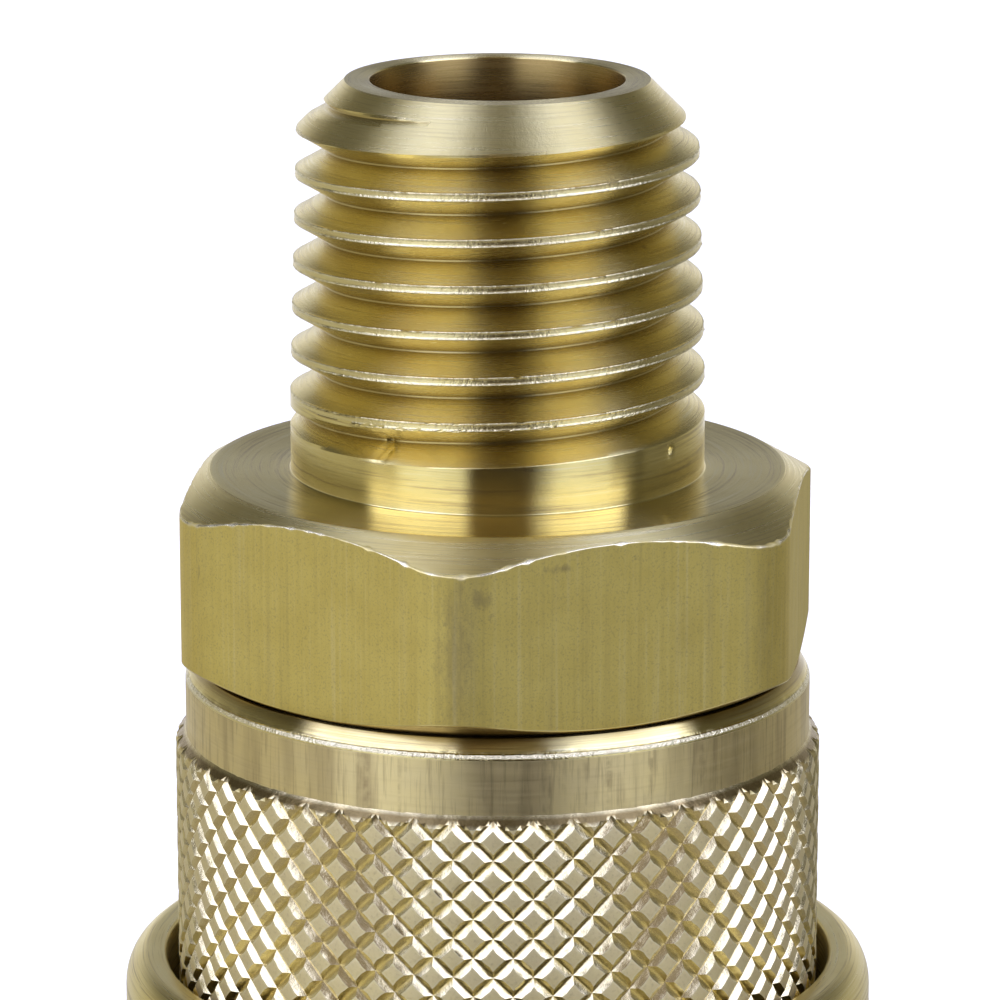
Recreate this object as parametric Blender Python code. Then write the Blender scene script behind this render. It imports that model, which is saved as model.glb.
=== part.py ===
"""Quick disconnect coupler: a ball-lock air socket with a male taper pipe thread.

The coupler stands on its mouth, with the thread end up. The axis is Z and the mouth face is at
zero height. The hexagon adapter screws into the rear of the socket body and traps the valve and
its spring. Pulling the release sleeve back, up in this frame, lets six balls move outwards and
frees the plug.
"""
import math

import bmesh
import bpy
from mathutils import Matrix

# Driving dimensions, in millimetres. Radii end in R, heights above the mouth face in Z.
MM = 0.001
HEIGHT = 53.0
GAP = 0.3                       # between pieces that touch on the real coupler

# Hexagon adapter
BORE_R = 3.97
THREAD_FLAT_R = 4.76            # flat ring round the bore, inside the lead-in chamfer
CREST_R = 6.22                  # thread crest radius at the thread end
THREAD_DEPTH = 0.95
THREAD_PITCH = 25.4 / 18        # 18 threads per inch
THREAD_TAPER = 1 / 32           # radius gained per unit of depth
ROOT_WIDTH = 0.05
NECK_R = 6.53
HEX_FLATS = 19.05               # across flats
HEX_TOP_Z = 40.65
HEX_BOTTOM_Z = 34.55
HEX_FACE_R = 9.1                # flat upper face, inside the corner chamfer
HEX_CHAMFER = math.radians(30)
HEX_UNDER_R = 9.45              # flat lower face
HEX_UNDER_CHAMFER = math.radians(28)
HEX_TURN = math.radians(262.4)  # direction of one corner
SPIGOT_R = 8.0
SPIGOT_END_Z = 29.0

# Socket body
MOUTH_R = 6.05
MOUTH_END_Z = 12.4              # where the mouth's bore starts to narrow to the lip
MOUTH_FLARE_R = 6.6             # lead-in chamfer at the mouth face
MOUTH_FLARE_Z = 0.6
NOSE_R = 7.9
NOSE_FACE_R = 7.6
EDGE = 0.3                      # chamfers on the nose, the collar and the rear bore
BODY_TOP_Z = HEX_BOTTOM_Z - GAP
COLLAR_R = 9.95
COLLAR_BOTTOM_Z = 32.13
KNURL_R = 10.29
KNURL_TOP_Z = 31.85
KNURL_BOTTOM_Z = 21.2
REAR_BORE_R = SPIGOT_R + GAP
CHAMBER_R = 7.0
CHAMBER_TOP_Z = 27.6
SEAL_POCKET_R = 6.2
SEAL_POCKET_TOP_Z = 17.2
LIP_R = 4.3
LIP_BOTTOM_Z = 13.2
LIP_TOP_Z = 14.0
RING_GROOVE_R = 7.2
RING_GROOVE_BOTTOM_Z = 0.8
RING_GROOVE_TOP_Z = 2.2

# Lock balls, 1/8 inch
BALL_COUNT = 6
BALL_R = 1.5875
BALL_PLACE_R = 6.6
BALL_Z = 5.2
BALL_HOLE_R = 1.66
BALL_STOP_R = 1.53              # the hole's inner edge, which stops the ball falling in

# Release sleeve
SLEEVE_R = 12.0
SLEEVE_FRONT_Z = 0.5
SLEEVE_RIM_Z = 24.77
SLEEVE_SKIRT_R = 10.65
RIM_ROUND_WIDTH = 0.82
RIM_ROUND_HEIGHT = 1.12
LAND_R = 8.12
LAND_BOTTOM_Z = 5.9
LAND_TOP_Z = 8.0
CONE_SLOPE = 0.34               # radius gained per unit of sleeve travel
CONE_BOTTOM_Z = 2.45
RING_RECESS_R = 10.0

# Retaining ring
RING_INNER_R = RING_GROOVE_R + GAP
RING_OUTER_R = 9.7
RING_THICKNESS = 0.8
RING_OPENING = math.radians(34)

# Valve
POPPET_NOSE_R = 3.7
POPPET_NOSE_Z = 17.4
POPPET_HEAD_R = 6.3
POPPET_HEAD_BOTTOM_Z = 19.9
POPPET_HEAD_TOP_Z = 21.2
POPPET_GUIDE_R = 4.5
POPPET_TOP_Z = 25.2

# Springs: wire radius, mean coil radius, turns, and the closed turns at each end
SLEEVE_SPRING = {"wire_r": 0.5, "coil_r": 9.2, "turns": 5.5, "closed": 0.75}
VALVE_SPRING = {"wire_r": 0.35, "coil_r": 5.2, "turns": 4.5, "closed": 0.75}

ROUND_STEPS = 48
ADAPTER_STEPS = 40
SMOOTH_BELOW = math.radians(35)


def clear_scene():
    for thing in list(bpy.data.objects):
        bpy.data.objects.remove(thing, do_unlink=True)


def make_material(name, color, metallic, roughness):
    material = bpy.data.materials.new(name)
    material.use_nodes = True
    shader = material.node_tree.nodes["Principled BSDF"]
    shader.inputs["Base Color"].default_value = (*color, 1)
    shader.inputs["Metallic"].default_value = metallic
    shader.inputs["Roughness"].default_value = roughness
    material.diffuse_color = (*color, 1)
    return material


def brass(name, roughness=0.3):
    return make_material(name, (0.62, 0.47, 0.20), 1.0, roughness)


def steel(name, roughness=0.25):
    return make_material(name, (0.60, 0.60, 0.58), 1.0, roughness)


def rubber(name):
    return make_material(name, (0.015, 0.015, 0.016), 0.0, 0.6)


def add_object(name, mesh, material=None, origin=(0, 0, 0)):
    """Finish a bmesh made in millimetres as an object with its origin at the given point."""
    bmesh.ops.remove_doubles(mesh, verts=mesh.verts, dist=1e-5)
    bmesh.ops.recalc_face_normals(mesh, faces=mesh.faces)
    move = Matrix.Translation([-value for value in origin])
    bmesh.ops.transform(mesh, matrix=Matrix.Scale(MM, 4) @ move, verts=mesh.verts)
    data = bpy.data.meshes.new(name)
    mesh.to_mesh(data)
    mesh.free()
    data.shade_smooth()
    data.set_sharp_from_angle(angle=SMOOTH_BELOW)
    thing = bpy.data.objects.new(name, data)
    thing.location = [value * MM for value in origin]
    bpy.context.scene.collection.objects.link(thing)
    if material:
        data.materials.append(material)
    return thing


def spun(outline, steps, angle=math.tau):
    """Spin an outline of (radius, height) points about Z. A part turn gets flat end faces."""
    mesh = bmesh.new()
    points = [mesh.verts.new((radius, 0, height)) for radius, height in outline]
    open_on_axis = outline[0][0] == 0 and outline[-1][0] == 0
    edges = [mesh.edges.new(pair) for pair in zip(points, points[1:])]
    if not open_on_axis:
        edges.append(mesh.edges.new((points[-1], points[0])))
    whole = angle == math.tau
    result = bmesh.ops.spin(
        mesh, geom=points + edges, axis=(0, 0, 1), cent=(0, 0, 0), angle=angle, steps=steps, use_merge=whole
    )
    if not whole:
        last = [item for item in result["geom_last"] if isinstance(item, bmesh.types.BMEdge)]
        bmesh.ops.contextual_create(mesh, geom=edges)
        bmesh.ops.contextual_create(mesh, geom=last)
    return mesh


def turned(name, outline, material, steps=ROUND_STEPS):
    return add_object(name, spun(outline, steps), material)


def swept(sections):
    """A closed tube through a list of sections, each a list of points in the same order."""
    mesh = bmesh.new()
    rings = [[mesh.verts.new(point) for point in section] for section in sections]
    sides = len(rings[0])
    for low, high in zip(rings, rings[1:]):
        for i in range(sides):
            j = (i + 1) % sides
            mesh.faces.new((low[i], low[j], high[j], high[i]))
    mesh.faces.new(rings[0])
    mesh.faces.new(rings[-1])
    return mesh


def around(radius, turn, height):
    return (radius * math.cos(turn), radius * math.sin(turn), height)


def cut(thing, cutter):
    cutter.hide_render = True
    cutter.display_type = "WIRE"
    boolean = thing.modifiers.new(cutter.name, "BOOLEAN")
    boolean.operation = "DIFFERENCE"
    boolean.solver = "EXACT"
    boolean.object = cutter


def crest_radius(depth):
    return CREST_R + depth * THREAD_TAPER


def thread_cutter():
    """The helical groove of the taper thread, which runs out on the neck above the hexagon."""
    full_turn = -4.8
    runout_turn = -5.2
    last_turn = -5.25
    first_turn = 2.85
    groove_depth = 3.586        # depth of the groove at the half turn
    reach = 1.1                 # height of the cutter's section, past the crest
    clear = 0.06                # how far the cutter rises above the crest where it runs out
    steps = round((first_turn - last_turn) * ADAPTER_STEPS)
    sections = []
    for i in range(steps + 1):
        turns = last_turn + i / ADAPTER_STEPS
        depth = groove_depth - turns * THREAD_PITCH
        fade = min(max((full_turn - turns) / (full_turn - runout_turn), 0), 1)
        root = crest_radius(depth) - THREAD_DEPTH + fade * (THREAD_DEPTH + clear)
        half_root = ROOT_WIDTH / 2
        half_top = half_root + reach * math.tan(math.radians(30))
        turn = math.pi + turns * math.tau
        z = HEIGHT - depth
        sections.append([
            around(root, turn, z - half_root),
            around(root, turn, z + half_root),
            around(root + reach, turn, z + half_top),
            around(root + reach, turn, z - half_top),
        ])
    return add_object("thread_groove", swept(sections))


def hex_cutter():
    """What surrounds the hexagon: a thick ring with a hexagonal hole."""
    mesh = bmesh.new()
    outside_r = HEX_FLATS
    corner_r = HEX_FLATS / math.sqrt(3)
    low_z, high_z = HEX_BOTTOM_Z - 1, HEX_TOP_Z + 1
    rings = []
    for radius, z in ((corner_r, low_z), (outside_r, low_z), (outside_r, high_z), (corner_r, high_z)):
        turns = [HEX_TURN + i * math.tau / 6 for i in range(6)]
        rings.append([mesh.verts.new(around(radius, turn, z)) for turn in turns])
    for k in range(4):
        low, high = rings[k], rings[(k + 1) % 4]
        for i in range(6):
            j = (i + 1) % 6
            mesh.faces.new((low[i], low[j], high[j], high[i]))
    return add_object("hex_surround", mesh)


def hex_adapter():
    lead_in_depth = (CREST_R - THREAD_FLAT_R) / (1 - THREAD_TAPER)
    neck_depth = (NECK_R - CREST_R) / THREAD_TAPER
    beyond_corner_r = 11.3
    top_drop = (beyond_corner_r - HEX_FACE_R) * math.tan(HEX_CHAMFER)
    bottom_rise = (beyond_corner_r - HEX_UNDER_R) * math.tan(HEX_UNDER_CHAMFER)
    spigot_chamfer = 0.5
    outline = [
        (BORE_R, HEIGHT),
        (THREAD_FLAT_R, HEIGHT),
        (crest_radius(lead_in_depth), HEIGHT - lead_in_depth),
        (NECK_R, HEIGHT - neck_depth),
        (NECK_R, HEX_TOP_Z),
        (HEX_FACE_R, HEX_TOP_Z),
        (beyond_corner_r, HEX_TOP_Z - top_drop),
        (beyond_corner_r, HEX_BOTTOM_Z + bottom_rise),
        (HEX_UNDER_R, HEX_BOTTOM_Z),
        (SPIGOT_R, HEX_BOTTOM_Z),
        (SPIGOT_R, SPIGOT_END_Z + spigot_chamfer),
        (SPIGOT_R - spigot_chamfer, SPIGOT_END_Z),
        (BORE_R, SPIGOT_END_Z),
    ]
    adapter = turned("hex_adapter", outline, brass("adapter_brass"), ADAPTER_STEPS)
    cut(adapter, hex_cutter())
    cut(adapter, thread_cutter())


def ball_turns():
    return [(i + 0.5) * math.tau / BALL_COUNT for i in range(BALL_COUNT)]


def ball_hole_cutter(index, turn):
    """A radial pin with a narrow inner end, which leaves the ball a seat at the bore."""
    beyond = 1.0
    inner_r, seat_r, outer_r = MOUTH_R - beyond, BALL_PLACE_R, NOSE_R + beyond
    slope = (BALL_HOLE_R - BALL_STOP_R) / (seat_r - MOUTH_R)
    narrow_r = BALL_STOP_R - slope * (MOUTH_R - inner_r)
    outline = [(0, outer_r), (BALL_HOLE_R, outer_r), (BALL_HOLE_R, seat_r), (narrow_r, inner_r), (0, inner_r)]
    mesh = spun(outline, 24)
    lay_down = Matrix.Rotation(math.pi / 2, 4, "Y")
    place = Matrix.Translation((0, 0, BALL_Z)) @ Matrix.Rotation(turn, 4, "Z")
    bmesh.ops.transform(mesh, matrix=place @ lay_down, verts=mesh.verts)
    return add_object(f"ball_hole_{index}", mesh)


def socket_body():
    outline = [
        (MOUTH_FLARE_R, 0),
        (NOSE_FACE_R, 0),
        (NOSE_R, EDGE),
        (NOSE_R, RING_GROOVE_BOTTOM_Z),
        (RING_GROOVE_R, RING_GROOVE_BOTTOM_Z),
        (RING_GROOVE_R, RING_GROOVE_TOP_Z),
        (NOSE_R, RING_GROOVE_TOP_Z),
        (NOSE_R, KNURL_BOTTOM_Z),
        (KNURL_R, KNURL_BOTTOM_Z),
        (KNURL_R, KNURL_TOP_Z),
        (COLLAR_R, COLLAR_BOTTOM_Z),
        (COLLAR_R, BODY_TOP_Z - EDGE),
        (COLLAR_R - EDGE, BODY_TOP_Z),
        (REAR_BORE_R + EDGE, BODY_TOP_Z),
        (REAR_BORE_R, BODY_TOP_Z - EDGE),
        (REAR_BORE_R, CHAMBER_TOP_Z),
        (CHAMBER_R, CHAMBER_TOP_Z),
        (CHAMBER_R, SEAL_POCKET_TOP_Z),
        (SEAL_POCKET_R, SEAL_POCKET_TOP_Z),
        (SEAL_POCKET_R, LIP_TOP_Z),
        (LIP_R, LIP_TOP_Z),
        (LIP_R, LIP_BOTTOM_Z),
        (MOUTH_R, MOUTH_END_Z),
        (MOUTH_R, MOUTH_FLARE_Z),
    ]
    body = turned("socket_body", outline, brass("body_brass"))
    for index, turn in enumerate(ball_turns(), 1):
        cut(body, ball_hole_cutter(index, turn))


def release_sleeve():
    cone_bottom_r = LAND_R + (LAND_BOTTOM_Z - CONE_BOTTOM_Z) * CONE_SLOPE
    front_round = 0.8
    inner_edge = 0.35
    shoulder_z = RING_GROOVE_TOP_Z
    round_steps = 5
    outline = [
        (SLEEVE_R - front_round, SLEEVE_FRONT_Z),
        (SLEEVE_R, SLEEVE_FRONT_Z + front_round),
    ]
    for i in range(round_steps + 1):
        turn = i / round_steps * math.pi / 2
        radius = SLEEVE_R - RIM_ROUND_WIDTH * (1 - math.cos(turn))
        outline.append((radius, SLEEVE_RIM_Z - RIM_ROUND_HEIGHT * (1 - math.sin(turn))))
    outline += [
        (SLEEVE_SKIRT_R + inner_edge * 0.5, SLEEVE_RIM_Z - inner_edge * 0.3),
        (SLEEVE_SKIRT_R, SLEEVE_RIM_Z - inner_edge),
        (SLEEVE_SKIRT_R, LAND_TOP_Z),
        (LAND_R, LAND_TOP_Z),
        (LAND_R, LAND_BOTTOM_Z),
        (cone_bottom_r, CONE_BOTTOM_Z),
        (cone_bottom_r, shoulder_z),
        (RING_RECESS_R, shoulder_z),
        (RING_RECESS_R, SLEEVE_FRONT_Z),
    ]
    turned("release_sleeve", outline, brass("sleeve_brass"))


def lock_balls():
    for index, turn in enumerate(ball_turns(), 1):
        mesh = bmesh.new()
        bmesh.ops.create_uvsphere(mesh, u_segments=12, v_segments=8, radius=BALL_R)
        centre = around(BALL_PLACE_R, turn, BALL_Z)
        bmesh.ops.translate(mesh, vec=centre, verts=mesh.verts)
        add_object(f"lock_ball_{index}", mesh, steel(f"ball_steel_{index}", 0.12), centre)


def retaining_ring():
    bottom_z = RING_GROOVE_BOTTOM_Z + GAP
    top_z = bottom_z + RING_THICKNESS
    outline = [
        (RING_INNER_R, bottom_z),
        (RING_OUTER_R, bottom_z),
        (RING_OUTER_R, top_z),
        (RING_INNER_R, top_z),
    ]
    mesh = spun(outline, 36, math.tau - RING_OPENING)
    add_object("retaining_ring", mesh, steel("ring_steel", 0.35))


def coil_spring(name, low_z, high_z, material, wire_r, coil_r, turns, closed, steps=16, sides=6):
    """A round wire spring with closed end turns, its ends resting on low_z and high_z."""
    closed_pitch = 2.2 * wire_r
    rise = high_z - low_z - 2 * wire_r
    open_pitch = (rise - 2 * closed * closed_pitch) / (turns - 2 * closed)
    sections = []
    for i in range(round(turns * steps) + 1):
        turned_by = i / steps
        low_part = min(turned_by, closed)
        high_part = max(turned_by - (turns - closed), 0)
        open_part = turned_by - low_part - high_part
        z = low_z + wire_r + (low_part + high_part) * closed_pitch + open_part * open_pitch
        section = []
        for k in range(sides):
            angle = k * math.tau / sides
            radius = coil_r + wire_r * math.cos(angle)
            section.append(around(radius, turned_by * math.tau, z + wire_r * math.sin(angle)))
        sections.append(section)
    return add_object(name, swept(sections), material)


def springs():
    sleeve_steel = steel("sleeve_spring_steel")
    valve_steel = steel("valve_spring_steel")
    coil_spring("sleeve_spring", LAND_TOP_Z + GAP, KNURL_BOTTOM_Z - GAP, sleeve_steel, **SLEEVE_SPRING)
    coil_spring("valve_spring", POPPET_HEAD_TOP_Z + GAP, SPIGOT_END_Z - GAP, valve_steel, **VALVE_SPRING)


def valve_poppet():
    tip_width, tip_height = 1.2, 0.9
    nose_edge = 0.4
    outline = [
        (0, POPPET_TOP_Z),
        (POPPET_GUIDE_R - tip_width, POPPET_TOP_Z),
        (POPPET_GUIDE_R, POPPET_TOP_Z - tip_height),
        (POPPET_GUIDE_R, POPPET_HEAD_TOP_Z),
        (POPPET_HEAD_R, POPPET_HEAD_TOP_Z),
        (POPPET_HEAD_R, POPPET_HEAD_BOTTOM_Z),
        (POPPET_NOSE_R, POPPET_HEAD_BOTTOM_Z),
        (POPPET_NOSE_R, POPPET_NOSE_Z + nose_edge),
        (POPPET_NOSE_R - nose_edge, POPPET_NOSE_Z),
        (0, POPPET_NOSE_Z),
    ]
    turned("valve_poppet", outline, brass("valve_brass"), 36)


def seals():
    washer_bottom_z = SEAL_POCKET_TOP_Z + GAP
    washer_thickness = 1.0
    washer_top_z = washer_bottom_z + washer_thickness
    washer_hole_r, washer_r = 4.4, CHAMBER_R - GAP
    washer = [
        (washer_hole_r, washer_bottom_z),
        (washer_r, washer_bottom_z),
        (washer_r, washer_top_z),
        (washer_hole_r, washer_top_z),
    ]
    turned("seal_washer", washer, brass("washer_brass"), 36)

    face_bottom_z, face_top_z = washer_top_z + GAP, POPPET_HEAD_BOTTOM_Z - GAP
    face_inner_r, face_outer_r = POPPET_NOSE_R + GAP, 5.9
    face_seal = [
        (face_inner_r, face_bottom_z),
        (face_outer_r, face_bottom_z),
        (face_outer_r, face_top_z),
        (face_inner_r, face_top_z),
    ]
    turned("valve_face_seal", face_seal, rubber("face_seal_rubber"), 36)

    cup_bottom_z, cup_top_z = LIP_TOP_Z + GAP, SEAL_POCKET_TOP_Z - GAP
    cup_floor_z = cup_bottom_z + 1.1
    cup_r = SEAL_POCKET_R - GAP
    inner_low_r, inner_high_r = 4.1, 3.8          # the inner lip leans on the plug's nose
    groove_low_r, groove_high_r = (4.7, 5.0), (4.3, 5.3)
    cup_seal = [
        (inner_low_r, cup_bottom_z),
        (cup_r, cup_bottom_z),
        (cup_r, cup_top_z),
        (groove_high_r[1], cup_top_z),
        (groove_low_r[1], cup_floor_z),
        (groove_low_r[0], cup_floor_z),
        (groove_high_r[0], cup_top_z),
        (inner_high_r, cup_top_z),
    ]
    turned("plug_seal", cup_seal, rubber("plug_seal_rubber"), 36)

    gasket_bottom_z, gasket_top_z = CHAMBER_TOP_Z + GAP, SPIGOT_END_Z - GAP
    gasket_inner_r, gasket_outer_r = 7.3, SPIGOT_R
    gasket = [
        (gasket_inner_r, gasket_bottom_z),
        (gasket_outer_r, gasket_bottom_z),
        (gasket_outer_r, gasket_top_z),
        (gasket_inner_r, gasket_top_z),
    ]
    turned("adapter_gasket", gasket, rubber("gasket_rubber"), 36)


def build():
    clear_scene()
    hex_adapter()
    socket_body()
    release_sleeve()
    lock_balls()
    retaining_ring()
    springs()
    valve_poppet()
    seals()


build()
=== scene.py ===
"""Looks of the quick disconnect coupler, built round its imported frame.

All shapes are made in millimetres and written to the meshes in metres.
"""
from math import cos, floor, pi, radians, sin, tan, tau

import bmesh
import bpy
import numpy as np
from mathutils import Matrix, Vector


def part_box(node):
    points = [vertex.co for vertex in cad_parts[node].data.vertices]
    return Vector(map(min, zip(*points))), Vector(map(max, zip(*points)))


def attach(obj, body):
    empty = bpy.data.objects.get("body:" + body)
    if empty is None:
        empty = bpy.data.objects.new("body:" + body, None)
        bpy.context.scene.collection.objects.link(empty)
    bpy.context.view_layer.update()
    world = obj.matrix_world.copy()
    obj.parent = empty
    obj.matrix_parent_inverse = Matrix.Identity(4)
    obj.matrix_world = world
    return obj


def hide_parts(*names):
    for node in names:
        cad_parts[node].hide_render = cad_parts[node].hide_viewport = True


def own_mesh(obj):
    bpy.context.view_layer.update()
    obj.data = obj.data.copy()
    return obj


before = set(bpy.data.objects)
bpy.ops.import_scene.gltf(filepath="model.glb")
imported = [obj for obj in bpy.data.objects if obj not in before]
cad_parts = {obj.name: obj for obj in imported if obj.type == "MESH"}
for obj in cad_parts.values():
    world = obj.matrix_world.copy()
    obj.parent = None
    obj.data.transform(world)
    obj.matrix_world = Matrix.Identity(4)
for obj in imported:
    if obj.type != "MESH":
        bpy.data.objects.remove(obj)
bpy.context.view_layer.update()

MM = 0.001
FINE_WELD = 0.0005  # points this close, in millimetres, become one


def box_mm(node):
    low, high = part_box(node)
    return [value / MM for value in low], [value / MM for value in high]


# Sizes read from the frame, in millimetres
TOP_Z = box_mm("hex_adapter")[1][2]
SPIGOT_END_Z = box_mm("hex_adapter")[0][2]
SLEEVE_R = box_mm("release_sleeve")[1][0]
SLEEVE_FRONT_Z = box_mm("release_sleeve")[0][2]
RIM_Z = box_mm("release_sleeve")[1][2]
KNURL_R = box_mm("socket_body")[1][0]

# Thread and neck
BORE_R = 3.97
THREAD_FLAT_R = 4.76  # outer edge of the flat ring round the bore
CREST_R = 6.22  # at the thread's end
THREAD_DEPTH = 0.95
THREAD_PITCH = 25.4 / 18
THREAD_TAPER = 1 / 32  # radius gained per unit of depth
THREAD_SLOPE = tan(radians(30))
THREAD_EDGE = 0.025  # width of the burr along a crest's edges
ROOT_WIDTH = 0.05
PITCHES = 11  # covered by the skin of the thread and the neck
BACK_GROOVE = 7  # number of the groove that has the next depth at the back
GROOVE_DEPTH_AT_BACK = 3.586
RUN_OUT_TURN = -4.8  # where the groove fades out, in turns from the back groove
RUN_OUT_LENGTH = 0.4
NECK_R = 6.53
NECK_FILLET = 0.05
NECK_TOP_Z = TOP_Z - 11.4
# Nicks where the thread runs out: turn in degrees, height, half width, half height and depth
NICKS = [
    (235.2, 42.55, 0.13, 0.3, 0.12),
    (237.5, 42.3, 0.07, 0.16, 0.1),
    (325.0, 42.0, 0.08, 0.16, 0.1),
]

# Hexagon
HEX_FLATS = 19.05
HEX_TOP_Z = TOP_Z - 12.35
HEX_BOTTOM_Z = TOP_Z - 18.45
HEX_FACE_R = 9.1
HEX_TOP_SLOPE = radians(30)
HEX_BOTTOM_R = 9.45
HEX_BOTTOM_SLOPE = radians(28)
HEX_TURN = radians(262.4)
HEX_CORNER_ROUND = 2.7
HEX_OFF_CENTRE = 0.09  # the drawn bar sits a little off the turned axis
SPIGOT_R = 8.0
SPIGOT_CHAMFER = 0.5
BORE_EDGE = 0.15  # chamfer at the bore's hidden end

# Socket body
BODY_SEAM_Z = HEX_BOTTOM_Z - 0.05
COLLAR_R = 9.95
COLLAR_TOP_R = 9.62
COLLAR_TOP_Z = BODY_SEAM_Z - 0.5
COLLAR_BOTTOM_Z = 32.13
KNURL_TOP_Z = 31.85
KNURL_BOTTOM_Z = 21.2
KNURL_COUNT = 52  # grooves of each hand, round either knurling
KNURL_DEPTH = 0.15
KNURL_CROWN = 0.003  # how far a diamond's top sinks towards its edges
KNURL_LEAD = 0.3  # how far a band starts above the first crossing, in pitches
KNURL_TURN = radians(269.25)
KNURL_CROSSING_Z = 32.05
NOSE_R = 7.9
NOSE_FACE_R = 7.6
MOUTH_R = 6.05
MOUTH_FLARE_R = 6.62
MOUTH_END_Z = 12.4
REAR_BORE_R = 8.3
CHAMBER_R = 7.0
CHAMBER_TOP_Z = 27.6
SEAL_POCKET_R = 6.2
SEAL_POCKET_TOP_Z = 17.2
LIP_R = 4.3
LIP_BOTTOM_Z = 13.2
LIP_TOP_Z = 14.0
RING_GROOVE_R = 7.2
RING_GROOVE_BOTTOM_Z = 0.8
RING_GROOVE_TOP_Z = 2.2
RING_OPENING = radians(34)
GAP = 0.3  # between pieces that touch on the real coupler

# Balls
BALL_COUNT = 6
BALL_R = 1.5875
BALL_PLACE_R = 6.6
BALL_Z = 5.2
BALL_HOLE_R = 1.66
BALL_STOP_R = 1.53

# Sleeve
SKIRT_R = 10.65
RIM_ROUND_WIDTH = 0.82
RIM_ROUND_HEIGHT = 1.12
RIM_INNER_EDGE = 0.16
LAND_R = 8.12
LAND_BOTTOM_Z = 5.9
LAND_TOP_Z = 8.0
CONE_SLOPE = 0.34
CONE_BOTTOM_Z = 2.45
RING_RECESS_R = 10.0
RING_RECESS_TOP_Z = 2.2
FRONT_ROUND = 0.8
SLEEVE_KNURL_TOP_Z = 22.4
SLEEVE_KNURL_BOTTOM_Z = 3.4
SLEEVE_KNURL_EDGE = 0.35  # height of the cone at each end of the knurling

# Valve, springs and seals
POPPET_NOSE_R = 3.7
POPPET_GUIDE_R = 4.5
POPPET_HEAD_BOTTOM_Z = 19.9
POPPET_HEAD_TOP_Z = 21.2
TRAVEL = 3.2  # of the sleeve and of the valve
SLEEVE_SPRING = dict(wire_r=0.5, coil_r=9.2, turns_count=5.5, travel=TRAVEL)
VALVE_SPRING = dict(wire_r=0.35, coil_r=5.2, turns_count=4.5, travel=TRAVEL)
CLOSED_TURNS = 0.75  # at each end of a spring
WASHER_R = 4.4
GASKET_R = 7.3
CUP_FLOOR = 1.1  # thickness of the U-cup's floor
CUP_LIPS = (4.3, 4.7, 5.0, 5.3)  # radii of the groove between its lips
CUP_INNER_R = (4.1, 3.8)  # at the floor and at the lip

# Colours
BRASS = (0.80, 0.68, 0.285, 1)
BRASS_WARM = (0.75, 0.615, 0.225, 1)
BRASS_PALE = (0.88, 0.80, 0.52, 1)
DRAWN = ((0.78, 0.63, 0.185, 1), (0.74, 0.59, 0.165, 1))
DRAWN_DULL = (0.66, 0.58, 0.34, 1)
KNURLED = ((0.72, 0.60, 0.265, 1), (0.70, 0.585, 0.29, 1))
ROLLED = ((0.79, 0.65, 0.30, 1), (0.76, 0.63, 0.31, 1))
TARNISH = (0.36, 0.27, 0.13, 1)
# Brown for painted shade in hollows and under parts, and for oily grime
GRIME_AND_SHADE = (0.26, 0.17, 0.05, 1)
STEEL = (0.62, 0.61, 0.59, 1)
SPRING_STEEL = (0.5, 0.49, 0.47, 1)
STEEL_DULL = (0.44, 0.43, 0.42, 1)
BLACK_RUBBER = (0.012, 0.012, 0.013, 1)
BROWN_RUBBER = (0.03, 0.02, 0.015, 1)
RUBBER_DUST = (0.12, 0.115, 0.105, 1)
PAPER = ((0.92, 0.905, 0.85, 1), (0.9, 0.885, 0.835, 1))

# Dark marks: place, half width and half height, and strength
HEX_STAINS = [
    ((-1.3, -10.6, 37.4), (0.5, 2.2), 0.4),
    ((-0.5, -10.5, 39.1), (0.35, 0.25), 0.5),
    ((1.9, -9.7, 39.8), (0.4, 0.12), 0.7),
    ((-9.3, -4.85, 37.6), (0.08, 2.6), 0.9),
    ((5.6, -8.0, 37.2), (0.4, 1.2), 0.12),
    ((8.2, -6.9, 37.4), (0.4, 2.6), 0.2),
]
THREAD_STAINS = [((4.5, -3.5, 48.3), (0.1, 1.9), 0.8)]

# The light tent: the hinge line's place, and each band's colour by turn from the front, as
# degrees, brightness and tint
HINGE_Y = 0.969
PANEL, SKY, DIM = (1, 1.05, 1.2), (1, 1.08, 1.7), (1, 0.97, 0.86)
DARK, FAR = (1, 0.8, 0.6), (1, 1.0, 1.05)
LOW_BAND = [
    (-90, 1.0, FAR), (-80, 0.75, FAR), (-68, 0.54, DIM), (-30, 0.52, DIM), (-27, 1.02, PANEL),
    (-20, 1.05, PANEL), (-10, 0.8, PANEL), (-7, 0.04, DARK), (9.5, 0.03, DARK),
    (13.5, 0.35, PANEL), (17, 0.8, PANEL), (22, 0.9, PANEL), (31.5, 0.68, PANEL), (34, 0.22, DIM),
    (40, 0.18, DIM), (42.5, 0.1, DIM), (45, 0.19, DIM), (54, 0.23, DIM), (66, 0.42, DIM),
    (80, 0.65, FAR), (90, 1.0, FAR),
]
MIDDLE_BAND = [
    (-90, 1.0, FAR), (-80, 0.5, FAR), (-68, 0.14, DIM), (-39, 0.1, DIM), (-35, 2.5, SKY),
    (-10, 2.2, SKY), (-7, 0.3, DARK), (8, 0.25, DARK), (11.5, 1.2, SKY), (16, 2.4, SKY),
    (35, 2.8, SKY), (39, 0.1, DIM), (66, 0.14, DIM), (80, 0.5, FAR), (90, 1.0, FAR),
]
HIGH_BAND = [
    (-90, 1.0, FAR), (-80, 0.4, FAR), (-66, 0.2, DIM), (-31, 0.18, DIM), (-27, 1.0, SKY),
    (-18, 1.2, SKY), (-10, 0.7, SKY), (-7, 0.15, DIM), (8, 0.13, DIM), (11.5, 0.4, SKY),
    (16, 1.1, SKY), (31, 0.95, SKY), (33.5, 0.1, DIM), (42.5, 0.06, DIM), (62, 0.08, DIM),
    (80, 0.4, FAR), (90, 1.0, FAR),
]
BELOW = (0.4, 0.36, 0.3, 1)
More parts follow.
